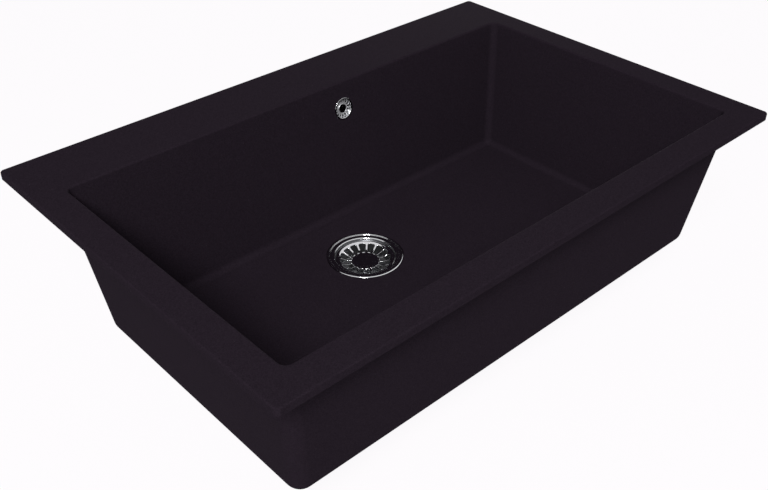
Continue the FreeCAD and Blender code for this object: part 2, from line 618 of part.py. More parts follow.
def make_drain_body():
    """Moulded body: flange, barrel, funnel, spider hub and overflow inlet."""
    flange = FLOOR_GASKET_OUTER + BODY_FLANGE_MARGIN
    outer = turned([(0, BODY_TOP_Z), (flange, BODY_TOP_Z), (flange, BODY_FLANGE_Z),
                    (BODY_RADIUS, BODY_FLANGE_Z), (BODY_RADIUS, BARREL_END_Z), (OUTLET_RADIUS, OUTLET_Z),
                    (0, OUTLET_Z)])
    void = turned([(0, BODY_TOP_Z + CUT_SPARE), (BODY_BORE, BODY_TOP_Z + CUT_SPARE),
                   (BODY_BORE, BARREL_END_Z + BODY_WALL), (OUTLET_BORE, OUTLET_Z + BODY_WALL),
                   (OUTLET_BORE, OUTLET_Z - CUT_SPARE), (0, OUTLET_Z - CUT_SPARE)])
    hub_radius = INSERT_RADIUS + HUB_WALL
    web = Part.makeCylinder(hub_radius, HUB_LENGTH, Vector(0, 0, OUTLET_Z))
    arm = Part.makeBox(BODY_RADIUS, SPIDER_ARM, SPIDER_HEIGHT, Vector(0, -SPIDER_ARM / 2, OUTLET_Z))
    for i in range(SPIDER_ARMS):
        web = web.fuse(turned_copy(arm, 360 * i / SPIDER_ARMS))
    bearing = math.degrees(math.atan2(TO_PIPE.y, TO_PIPE.x))
    body = outer.cut(void).fuse(turned_copy(web.common(outer), bearing))
    rib = body_rib()
    for i in range(BODY_RIBS):
        body = body.fuse(turned_copy(rib, bearing + 360 * (i + 1) / (BODY_RIBS + 1)))
    axis = Vector(0, 0, INLET_Z)
    spigot = rod(axis, TO_PIPE, SPIGOT_RADIUS, BODY_RADIUS + INLET_SPIGOT_REACH)
    barrel = Part.makeCylinder(BODY_BORE, 2 * SPIGOT_RADIUS, axis - UP * SPIGOT_RADIUS)
    body = body.fuse(spigot.cut(barrel))
    mouth = axis + TO_PIPE * (BODY_RADIUS + INLET_SPIGOT_REACH)
    body = body.cut(spigot_cutters(mouth, TO_PIPE, INLET_SPIGOT_REACH + BODY_WALL + CUT_SPARE))
    pocket = Part.makeCylinder(INSERT_RADIUS + SEAT_PLAY, INSERT_LENGTH + SEAT_PLAY + CUT_SPARE,
                               Vector(0, 0, OUTLET_Z - CUT_SPARE))
    shank = Part.makeCylinder(SCREW_RADIUS + HOLE_PLAY, HUB_LENGTH + CUT_SPARE, Vector(0, 0, OUTLET_Z))
    return at_drain(body.cut(pocket).cut(shank).removeSplitter())


def make_outlet_spigot():
    """Outlet tube welded to the foot of the drain body's funnel."""
    pairs = [(OUTLET_BORE, OUTLET_Z), (OUTLET_RADIUS, OUTLET_Z),
             (OUTLET_RADIUS, OUTLET_END_Z + OUTLET_CHAMFER),
             (OUTLET_RADIUS - OUTLET_CHAMFER, OUTLET_END_Z), (OUTLET_BORE, OUTLET_END_Z)]
    return at_drain(turned(pairs))


def make_overflow_rosette():
    """Pressed dish with a domed rim and a ring of windows in its flat floor."""
    floor = -ROSETTE_DEPTH
    floor_radius = ROSETTE_CUP_RADIUS - ROSETTE_TAPER
    pairs = [(ROSETTE_RADIUS, ROSETTE_EDGE_LIFT), (ROSETTE_RADIUS - ROSETTE_CROWN, ROSETTE_CROWN_LIFT),
             (ROSETTE_CUP_RADIUS, ROSETTE_EDGE_LIFT), (floor_radius, floor),
             (OVERFLOW_SCREW_RADIUS + SEAT_PLAY, floor)]
    rosette = pressed_sheet(pairs, [ROSETTE_BEND] * (len(pairs) - 2), ROSETTE_SHEET, ROSETTE_EDGE_RADIUS)
    cutters = windows(ROSETTE_WINDOW_INNER, floor_radius - ROSETTE_WINDOW_MARGIN, ROSETTE_BAR,
                      ROSETTE_WINDOWS, ROSETTE_WINDOW_CORNER, floor - CUT_SPARE, floor + CUT_SPARE)
    return placed(rosette.cut(cutters), OVERFLOW_FRAME)


def make_overflow_screw():
    """Broad flat-headed screw from the rosette's floor into the elbow's insert."""
    neck = -ROSETTE_DEPTH
    top = neck + OVERFLOW_SCREW_HEAD
    pairs = [(0, top), (OVERFLOW_SCREW_HEAD_RADIUS, top), (OVERFLOW_SCREW_HEAD_RADIUS, neck),
             (OVERFLOW_SCREW_RADIUS, neck), (OVERFLOW_SCREW_RADIUS, BOSS_FRONT - OVERFLOW_INSERT),
             (0, BOSS_FRONT - OVERFLOW_INSERT)]
    head_edge = [0, OVERFLOW_SCREW_EDGE_RADIUS, 0, 0, 0, 0]
    slot = slot_cutter(OVERFLOW_SCREW_HEAD_RADIUS, OVERFLOW_SCREW_SLOT_WIDTH, OVERFLOW_SCREW_SLOT_DEPTH, top)
    upright_slot = turned_copy(slot, 90)
    return placed(turned(pairs, head_edge).cut(upright_slot), OVERFLOW_FRAME)


def make_overflow_gasket():
    """Rubber ring between the back wall and the elbow."""
    outer = OVERFLOW_HOLE_RADIUS + OVERFLOW_GASKET_WIDTH
    return placed(ring(OVERFLOW_HOLE_RADIUS, outer, ELBOW_FACE, -WALL_SQUARE), OVERFLOW_FRAME)


def make_overflow_elbow():
    """Moulded chamber with a flange, a screw boss and a spigot that points down the wall."""
    flange_radius = max(ELBOW_RADIUS, OVERFLOW_HOLE_RADIUS + OVERFLOW_GASKET_WIDTH) + ELBOW_FLANGE_MARGIN
    outer = turned([(0, ELBOW_FACE), (flange_radius, ELBOW_FACE), (flange_radius, ELBOW_FACE - ELBOW_FLANGE),
                    (ELBOW_RADIUS, ELBOW_FACE - ELBOW_FLANGE), (ELBOW_RADIUS, ELBOW_BACK), (0, ELBOW_BACK)],
                   [0, 0, 0, 0, ELBOW_BACK_RADIUS, 0])
    down = Vector(0, -1, 0)
    axis = Vector(0, 0, SPIGOT_AXIS)
    chamber = Part.makeCylinder(ELBOW_RADIUS - ELBOW_WALL, ELBOW_LENGTH - ELBOW_WALL + CUT_SPARE,
                                Vector(0, 0, ELBOW_BACK + ELBOW_WALL))
    elbow = outer.fuse(rod(axis, down, SPIGOT_RADIUS, ELBOW_SPIGOT_REACH)).cut(chamber)
    boss_radius = OVERFLOW_INSERT_RADIUS + ELBOW_BOSS_WALL
    boss_root = ELBOW_BACK + ELBOW_WALL / 2
    boss = Part.makeCylinder(boss_radius, BOSS_FRONT - boss_root, Vector(0, 0, boss_root))
    elbow = elbow.fuse(boss)
    mouth = axis + down * ELBOW_SPIGOT_REACH
    depth = ELBOW_SPIGOT_REACH - ELBOW_RADIUS + ELBOW_WALL + CUT_SPARE
    elbow = elbow.cut(spigot_cutters(mouth, down, depth))
    pocket = Part.makeCylinder(OVERFLOW_INSERT_RADIUS + SEAT_PLAY, OVERFLOW_INSERT + CUT_SPARE,
                               Vector(0, 0, BOSS_FRONT - OVERFLOW_INSERT))
    return placed(elbow.cut(pocket).removeSplitter(), OVERFLOW_FRAME)


def make_overflow_insert():
    """Brass insert in the elbow's boss."""
    bore = OVERFLOW_SCREW_RADIUS + SEAT_PLAY
    insert = ring(bore, OVERFLOW_INSERT_RADIUS, BOSS_FRONT - OVERFLOW_INSERT, BOSS_FRONT)
    return placed(insert, OVERFLOW_FRAME)


def make_overflow_pipe():
    """Rigid pipe: down beside the back wall, round one bend and level into the drain body."""
    start = ELBOW_MOUTH - DOWN_WALL * (SOCKET_DEPTH - PIPE_END_GAP)
    end = INLET_MOUTH - TO_PIPE * (SOCKET_DEPTH - PIPE_END_GAP)
    level = TO_PIPE * -1
    turn = DOWN_WALL.getAngle(level)
    reach = PIPE_BEND_RADIUS * math.tan(turn / 2)
    bend_start = PIPE_KNEE - DOWN_WALL * reach
    bend_end = PIPE_KNEE + level * reach
    side = (level - DOWN_WALL * level.dot(DOWN_WALL)).normalize()
    centre = bend_start + side * PIPE_BEND_RADIUS
    rims = [Part.Wire(Part.makeCircle(radius, bend_start, DOWN_WALL))
            for radius in (PIPE_RADIUS, PIPE_RADIUS - PIPE_WALL)]
    annulus = Part.Face(rims[0]).cut(Part.Face(rims[1])).Faces[0]
    upright = annulus.extrude(start - bend_start)
    bend = annulus.revolve(centre, DOWN_WALL.cross(level), math.degrees(turn))
    run = end - bend_end
    outer = rod(bend_end, run, PIPE_RADIUS, run.Length)
    inner = rod(bend_end, run, PIPE_RADIUS - PIPE_WALL, run.Length)
    return upright.fuse(bend).fuse(outer.cut(inner)).removeSplitter()


def pipe_nut():
    """Fluted union nut about Z, with the spigot's mouth at height 0 and the pipe going up."""
    thread = SPIGOT_RADIUS + NUT_PLAY
    way = PIPE_RADIUS + HOLE_PLAY
    nut = turned([(thread, -NUT_GRIP), (NUT_RADIUS, -NUT_GRIP), (NUT_RADIUS, PIPE_SEAL),
                  (NUT_RADIUS - NUT_LIP, PIPE_SEAL + NUT_LIP), (way, PIPE_SEAL + NUT_LIP),
                  (way, PIPE_SEAL), (thread, PIPE_SEAL)])
    place = Vector(NUT_RADIUS + NUT_FLUTE_RADIUS - NUT_FLUTE_DEPTH, 0, -NUT_GRIP - CUT_SPARE)
    length = NUT_GRIP + PIPE_SEAL + NUT_LIP + 2 * CUT_SPARE
    flute = Part.makeCylinder(NUT_FLUTE_RADIUS, length, place)
    return nut.cut(Part.makeCompound([turned_copy(flute, 360 * i / NUT_FLUTES) for i in range(NUT_FLUTES)]))


def pipe_seal():
    """Tapered sealing ring about Z that sits on the spigot's mouth."""
    inner = PIPE_RADIUS + SEAT_PLAY
    return turned([(inner, 0), (SPIGOT_RADIUS, 0), (SPIGOT_RADIUS, PIPE_SEAL_COLLAR),
                   (SPIGOT_RADIUS - PIPE_SEAL_TAPER, PIPE_SEAL), (inner, PIPE_SEAL)])


NODES = {
    "sink_bowl": make_sink_bowl,
    "drain_flange": make_drain_flange,
    "flange_gasket": make_flange_gasket,
    "floor_gasket": make_floor_gasket,
    "drain_body": make_drain_body,
    "outlet_spigot": make_outlet_spigot,
    "drain_screw": make_drain_screw,
    "screw_insert": make_screw_insert,
    "strainer_basket": make_strainer_basket,
    "basket_stem": make_basket_stem,
    "stopper_plate": make_stopper_plate,
    "stopper_seal": make_stopper_seal,
    "stem_nut": make_stem_nut,
    "overflow_rosette": make_overflow_rosette,
    "overflow_screw": make_overflow_screw,
    "overflow_gasket": make_overflow_gasket,
    "overflow_elbow": make_overflow_elbow,
    "overflow_insert": make_overflow_insert,
    "overflow_pipe": make_overflow_pipe,
    "upper_pipe_nut": lambda: along(pipe_nut(), ELBOW_MOUTH, DOWN_WALL),
    "upper_pipe_seal": lambda: along(pipe_seal(), ELBOW_MOUTH, DOWN_WALL),
    "lower_pipe_nut": lambda: along(pipe_nut(), INLET_MOUTH, TO_PIPE),
    "lower_pipe_seal": lambda: along(pipe_seal(), INLET_MOUTH, TO_PIPE),
}

os.makedirs("parts", exist_ok=True)
for node, make in NODES.items():
    make().exportStep("parts/" + node + ".step")
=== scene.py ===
"""Looks of a drop-in stone kitchen sink, dressed around its packed construction."""
import json
import logging
import math
from dataclasses import dataclass, field
from enum import Enum
from typing import Any

import bmesh
import bpy
from mathutils import Matrix, Vector


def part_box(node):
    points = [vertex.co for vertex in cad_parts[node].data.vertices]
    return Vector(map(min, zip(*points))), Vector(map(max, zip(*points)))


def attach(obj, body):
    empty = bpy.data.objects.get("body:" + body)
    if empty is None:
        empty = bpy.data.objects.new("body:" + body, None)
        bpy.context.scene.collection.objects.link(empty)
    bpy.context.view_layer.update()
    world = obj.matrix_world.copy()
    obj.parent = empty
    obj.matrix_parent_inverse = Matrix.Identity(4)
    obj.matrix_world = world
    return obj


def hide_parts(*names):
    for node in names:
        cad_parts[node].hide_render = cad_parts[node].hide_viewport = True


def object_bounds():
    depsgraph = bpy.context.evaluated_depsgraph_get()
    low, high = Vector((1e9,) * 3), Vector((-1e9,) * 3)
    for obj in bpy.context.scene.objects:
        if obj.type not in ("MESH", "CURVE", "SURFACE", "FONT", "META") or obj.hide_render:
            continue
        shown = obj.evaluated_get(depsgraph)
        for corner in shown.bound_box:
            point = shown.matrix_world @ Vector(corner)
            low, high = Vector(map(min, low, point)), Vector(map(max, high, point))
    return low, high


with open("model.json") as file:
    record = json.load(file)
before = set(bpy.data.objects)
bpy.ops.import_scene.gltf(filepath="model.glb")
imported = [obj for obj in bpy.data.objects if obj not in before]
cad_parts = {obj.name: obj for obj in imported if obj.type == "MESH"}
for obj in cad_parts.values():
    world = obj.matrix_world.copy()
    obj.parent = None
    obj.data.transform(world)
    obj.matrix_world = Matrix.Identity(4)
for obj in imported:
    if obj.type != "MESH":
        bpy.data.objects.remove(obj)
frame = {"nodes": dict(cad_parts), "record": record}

CAD_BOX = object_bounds()
MM = 0.001
# Points nearer than this are one point, in metres
MERGE = 0.005 * MM
# Points nearer than this to a cutting plane lie on it, in metres
ON_PLANE = MERGE / 10
# A wave texture of scale one repeats after this length
WAVE_PERIOD = math.pi / 10
LOG = logging.getLogger("stone_sink")


class Body(Enum):
    """Rigid bodies of the sink."""

    SINK = "sink"
    BASKET = "basket"


class Slot(Enum):
    """Material slots of the record."""

    STONE = "stone"
    POLISHED_STEEL = "polished_steel"
    SATIN_STEEL = "satin_steel"
    TURNED_STEEL = "turned_steel"
    FITTING_PLASTIC = "fitting_plastic"
    NUT_PLASTIC = "nut_plastic"
    SEAL_RUBBER = "seal_rubber"
    BRASS = "brass"


def linear(code: str) -> tuple[float, float, float, float]:
    """Turns an sRGB hex colour into linear light, along the standard's curve.

    Args:
        code: colour as six hex digits after a hash sign.

    Returns:
        Linear red, green, blue and an alpha of one.
    """
    shares = [int(code[i:i + 2], 16) / 255 for i in (1, 3, 5)]
    red, green, blue = (s / 12.92 if s <= 0.04045 else ((s + 0.055) / 1.055) ** 2.4 for s in shares)
    return red, green, blue, 1.0


def add_node(tree: bpy.types.NodeTree, kind: str, inputs: dict[Any, Any] | None = None,
             **settings: Any) -> bpy.types.Node:
    """Adds a node with its settings and links.

    Args:
        tree: node tree that takes the node.
        kind: Blender's name for the kind of node.
        inputs: sockets by name or number, each with a value or the output that feeds it.
        settings: properties of the node.

    Returns:
        The new node.
    """
    node = tree.nodes.new(kind)
    for name, value in settings.items():
        setattr(node, name, value)
    for socket, value in (inputs or {}).items():
        if isinstance(value, bpy.types.NodeSocket):
            tree.links.new(value, node.inputs[socket])
        else:
            node.inputs[socket].default_value = value
    return node


@dataclass(frozen=True)
class Finish:
    """A surface finish, which makes one procedural material."""

    name: str

    def material(self) -> bpy.types.Material:
        """Makes the finish's material on its first use and finds it again after that.

        Returns:
            The material.
        """
        found = bpy.data.materials.get(self.name)
        if found is not None:
            return found
        made = bpy.data.materials.new(self.name)
        made.use_nodes = True
        tree = made.node_tree
        tree.nodes.clear()
        shader = add_node(tree, "ShaderNodeBsdfPrincipled")
        add_node(tree, "ShaderNodeOutputMaterial", {"Surface": shader.outputs["BSDF"]})
        place = add_node(tree, "ShaderNodeTexCoord").outputs["Object"]
        self.shade(tree, shader, place)
        return made

    def shade(self, tree: bpy.types.NodeTree, shader: bpy.types.Node, place: bpy.types.NodeSocket) -> None:
        """Sets the shader up; each finish has its own way.

        Args:
            tree: the material's node tree.
            shader: the Principled shader to set.
            place: Object coordinates in metres.
        """
        raise NotImplementedError


@dataclass(frozen=True)
class CompositeStone(Finish):
    """Quartz grit in black acrylic resin, cast in a mould: matte, near black, with a few paler grains."""

    resin: str = "#201A21"
    quartz: str = "#2A232B"
    fleck: str = "#3D383F"
    # Coarser than real grit, so that it shows
    grit: float = 0.9 * MM
    fleck_spacing: float = 7.0 * MM
    fleck_share: float = 0.18
    # Where a fleck starts to fade and where it ends, in shares of the spacing
    fleck_edge: tuple[float, float] = (0.05, 0.11)
    pebble_detail: float = 2.0
    pebble_depth: float = 0.1 * MM
    pebble_strength: float = 0.25
    roughness: float = 0.75
    # Far under the usual 0.5: shiny rays see the bright surround, and this stone shows no gloss
    specular: float = 0.004

    def shade(self, tree: bpy.types.NodeTree, shader: bpy.types.Node, place: bpy.types.NodeSocket) -> None:
        """Mixes resin, dyed quartz grains and paler flecks, over a faintly pebbled skin.

        Args:
            tree: the material's node tree.
            shader: the Principled shader to set.
            place: Object coordinates in metres.
        """
        grains = add_node(tree, "ShaderNodeTexVoronoi", {"Vector": place, "Scale": 1 / self.grit})
        tone = add_node(tree, "ShaderNodeSeparateColor", {"Color": grains.outputs["Color"]})
        body = add_node(tree, "ShaderNodeMix", {
            "Factor": tone.outputs["Red"], "A": linear(self.resin), "B": linear(self.quartz)},
            data_type="RGBA")
        flecks = add_node(tree, "ShaderNodeTexVoronoi", {"Vector": place, "Scale": 1 / self.fleck_spacing})
        draw = add_node(tree, "ShaderNodeSeparateColor", {"Color": flecks.outputs["Color"]})
        chosen = add_node(tree, "ShaderNodeMath", {0: draw.outputs["Red"], 1: self.fleck_share},
                          operation="LESS_THAN")
        core, edge = self.fleck_edge
        spot = add_node(tree, "ShaderNodeMapRange", {
            "Value": flecks.outputs["Distance"], "From Min": core, "From Max": edge,
            "To Min": 1.0, "To Max": 0.0})
        pale = add_node(tree, "ShaderNodeMath", {0: spot.outputs["Result"], 1: draw.outputs["Green"]},
                        operation="MULTIPLY")
        mask = add_node(tree, "ShaderNodeMath", {0: pale.outputs[0], 1: chosen.outputs[0]},
                        operation="MULTIPLY")
        colour = add_node(tree, "ShaderNodeMix", {
            "Factor": mask.outputs[0], "A": body.outputs["Result"], "B": linear(self.fleck)},
            data_type="RGBA")
        pebbles = add_node(tree, "ShaderNodeTexNoise", {
            "Vector": place, "Scale": 1 / self.grit, "Detail": self.pebble_detail})
        skin = add_node(tree, "ShaderNodeBump", {
            "Height": pebbles.outputs["Fac"], "Strength": self.pebble_strength,
            "Distance": self.pebble_depth})
        tree.links.new(colour.outputs["Result"], shader.inputs["Base Color"])
        tree.links.new(skin.outputs["Normal"], shader.inputs["Normal"])
        shader.inputs["Roughness"].default_value = self.roughness
        shader.inputs["Specular IOR Level"].default_value = self.specular


@dataclass(frozen=True)
class Metal(Finish):
    """A bare metal with a faint haze in its polish."""

    colour: str = "#CFD0D2"
    roughness: tuple[float, float] = (0.06, 0.11)
    haze: float = 5.0 * MM
    haze_detail: float = 3.0

    def shade(self, tree: bpy.types.NodeTree, shader: bpy.types.Node, place: bpy.types.NodeSocket) -> None:
        """Varies the roughness a little, as polishing does.

        Args:
            tree: the material's node tree.
            shader: the Principled shader to set.
            place: Object coordinates in metres.
        """
        cloud = add_node(tree, "ShaderNodeTexNoise", {
            "Vector": place, "Scale": 1 / self.haze, "Detail": self.haze_detail})
        low, high = self.roughness
        polish = add_node(tree, "ShaderNodeMapRange", {
            "Value": cloud.outputs["Fac"], "To Min": low, "To Max": high})
        tree.links.new(polish.outputs["Result"], shader.inputs["Roughness"])
        shader.inputs["Base Color"].default_value = linear(self.colour)
        shader.inputs["Metallic"].default_value = 1.0


@dataclass(frozen=True)
class TurnedMetal(Metal):
    """A metal cut on a lathe, whose fine tool marks run in rings about one axis."""

    axis: tuple[float, float] = (0.0, 0.0)
    # Coarser than real tool marks, so that they show
    tool_pitch: float = 0.5 * MM
    tool_depth: float = 0.005 * MM
    tool_strength: float = 0.3

    def shade(self, tree: bpy.types.NodeTree, shader: bpy.types.Node, place: bpy.types.NodeSocket) -> None:
        """Adds the tool's rings to the metal.

        Args:
            tree: the material's node tree.
            shader: the Principled shader to set.
            place: Object coordinates in metres.
        """
        super().shade(tree, shader, place)
        centred = add_node(tree, "ShaderNodeMapping", {
            "Vector": place, "Location": (-self.axis[0], -self.axis[1], 0)})
        rings = add_node(tree, "ShaderNodeTexWave", {
            "Vector": centred.outputs["Vector"], "Scale": WAVE_PERIOD / self.tool_pitch},
            wave_type="RINGS", rings_direction="Z")
        marks = add_node(tree, "ShaderNodeBump", {
            "Height": rings.outputs["Fac"], "Strength": self.tool_strength, "Distance": self.tool_depth})
        tree.links.new(marks.outputs["Normal"], shader.inputs["Normal"])


@dataclass(frozen=True)
class Moulded(Finish):
    """A moulded plastic or rubber with the fine grain of its mould and slight clouds of colour."""

    colour: str = "#E4E4DF"
    cloud_colour: str = "#DCDCD6"
    cloud: float = 18.0 * MM
    cloud_detail: float = 2.0
    roughness: float = 0.45
    # Coarser than a real mould's grain, so that it shows
    grain: float = 0.8 * MM
    grain_detail: float = 2.0
    grain_depth: float = 0.06 * MM
    grain_strength: float = 0.3

    def shade(self, tree: bpy.types.NodeTree, shader: bpy.types.Node, place: bpy.types.NodeSocket) -> None:
        """Clouds the colour a little and gives the skin the fine grain of a blasted mould.

        Args:
            tree: the material's node tree.
            shader: the Principled shader to set.
            place: Object coordinates in metres.
        """
        flow = add_node(tree, "ShaderNodeTexNoise", {
            "Vector": place, "Scale": 1 / self.cloud, "Detail": self.cloud_detail})
        tint = add_node(tree, "ShaderNodeMix", {
            "Factor": flow.outputs["Fac"], "A": linear(self.colour), "B": linear(self.cloud_colour)},
            data_type="RGBA")
        grain = add_node(tree, "ShaderNodeTexNoise", {
            "Vector": place, "Scale": 1 / self.grain, "Detail": self.grain_detail})
        skin = add_node(tree, "ShaderNodeBump", {
            "Height": grain.outputs["Fac"], "Strength": self.grain_strength, "Distance": self.grain_depth})
        tree.links.new(tint.outputs["Result"], shader.inputs["Base Color"])
        tree.links.new(skin.outputs["Normal"], shader.inputs["Normal"])
        shader.inputs["Roughness"].default_value = self.roughness


def drain_axis() -> Vector:
    """Returns the drain's axis in plan, from the flange's box."""
    low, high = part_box("drain_flange")
    return ((low + high) / 2).xy


AXIS = drain_axis()
# Matte stone: the eye sees one even near-black, and its paler grains only from close by
STONE = CompositeStone("cast_composite_stone")
# Mirror: bright only where it is tilted to the white surround, black where it faces the stone
POLISHED_STEEL = Metal("mirror_polished_stainless_steel")
# Drawn sheet as it leaves the press: dull where no polishing wheel reaches; its dark colour is painted shade
# for the cup under the basket
DRAWN_STEEL_PAINTED_SHADE = Metal("drawn_steel_painted_shade", colour="#8E8F91", roughness=(0.28, 0.42), haze=2.0 * MM)
# Satin: an even silvery grey from every side
SATIN_STEEL = Metal("satin_stainless_steel", colour="#C6C7C9", roughness=(0.5, 0.6), haze=1.0 * MM)
# Lathe-turned: soft gloss broken by fine rings
TURNED_STEEL = TurnedMetal("turned_stainless_steel", colour="#B9BABC", roughness=(0.22, 0.32),
                           haze=2.0 * MM, axis=tuple(AXIS))
# Turned brass: warm yellow under the same rings
BRASS = TurnedMetal("turned_brass", colour="#C6A15B", roughness=(0.2, 0.3), haze=2.0 * MM, axis=tuple(AXIS))
# Polypropylene: waxy half gloss over a fine mould grain
FITTING_PLASTIC = Moulded("moulded_white_polypropylene")
# The same plastic, dyed dark
NUT_PLASTIC = Moulded("moulded_dark_polypropylene", colour="#3A3B3D", cloud_colour="#343537", roughness=0.5)
# Rubber: dull, with hardly any highlight
SEAL_RUBBER = Moulded("moulded_black_rubber", colour="#1A1A1B", cloud_colour="#202021", roughness=0.75,
                      grain_depth=0.04 * MM)

FINISHES = {
    Slot.STONE: STONE,
    Slot.POLISHED_STEEL: POLISHED_STEEL,
    Slot.SATIN_STEEL: SATIN_STEEL,
    Slot.TURNED_STEEL: TURNED_STEEL,
    Slot.FITTING_PLASTIC: FITTING_PLASTIC,
    Slot.NUT_PLASTIC: NUT_PLASTIC,
    Slot.SEAL_RUBBER: SEAL_RUBBER,
    Slot.BRASS: BRASS,
}


def spin_all(shape: bmesh.types.BMesh, angle: float, steps: int, rise: float = 0.0,
             copies: bool = False) -> None:
    """Spins everything in a mesh about the Z axis.

    Args:
        shape: mesh to spin.
        angle: whole turn in radians.
        steps: number of steps in the turn.
        rise: climb along the axis at each step, in metres.
        copies: repeats the shape at each step where it would otherwise be swept.
    """
    geometry = shape.verts[:] + shape.edges[:] + shape.faces[:]
    bmesh.ops.spin(shape, geom=geometry, cent=(0, 0, 0), axis=(0, 0, 1), dvec=(0, 0, rise), angle=angle,
                   steps=steps, use_duplicate=copies)


def new_piece(name: str, shape: bmesh.types.BMesh) -> bpy.types.Object:
    """Makes an object from a mesh and frees the mesh.

    Args:
        name: the object's name.
        shape: finished mesh, in the frame's place.

    Returns:
        The object, linked into the scene at the origin.
    """
    mesh = bpy.data.meshes.new(name)
    shape.to_mesh(mesh)
    shape.free()
    mesh.shade_smooth()
    piece = bpy.data.objects.new(name, mesh)
    bpy.context.scene.collection.objects.link(piece)
    return piece


def fit_piece(piece: bpy.types.Object, node: str, body: Body, slot: Slot) -> None:
    """Puts a piece in the place of its construction node.

    Args:
        piece: finished piece.
        node: construction node that the piece stands for.
        body: body that it rides on.
        slot: record slot of its finish.
    """
    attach(piece, body.value)
    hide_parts(node)
    LOG.info("%s stands for %s on %s, in %s", piece.name, node, body.value, slot.value)


@dataclass(frozen=True)
class Corner:
    """A corner of a pressed profile in millimetres; bend is the radius of its upper face."""

    radius: float
    height: float
    bend: float = 0.0


@dataclass(frozen=True)
class Windows:
    """A ring of punched windows with parallel bars between them, in millimetres.

    Corner is how far the outer corners are cut back, and the punch turns the middle of each window's
    inner edge up by the lip.
    """

    count: int
    inner: float
    outer: float
    bar: float
    corner: float = 0.0
    lip: float = 0.0


@dataclass(frozen=True)
class Zone:
    """A ring of a pressing between two radii, in millimetres, with its own finish."""

    finish: Finish
    inner: float
    outer: float


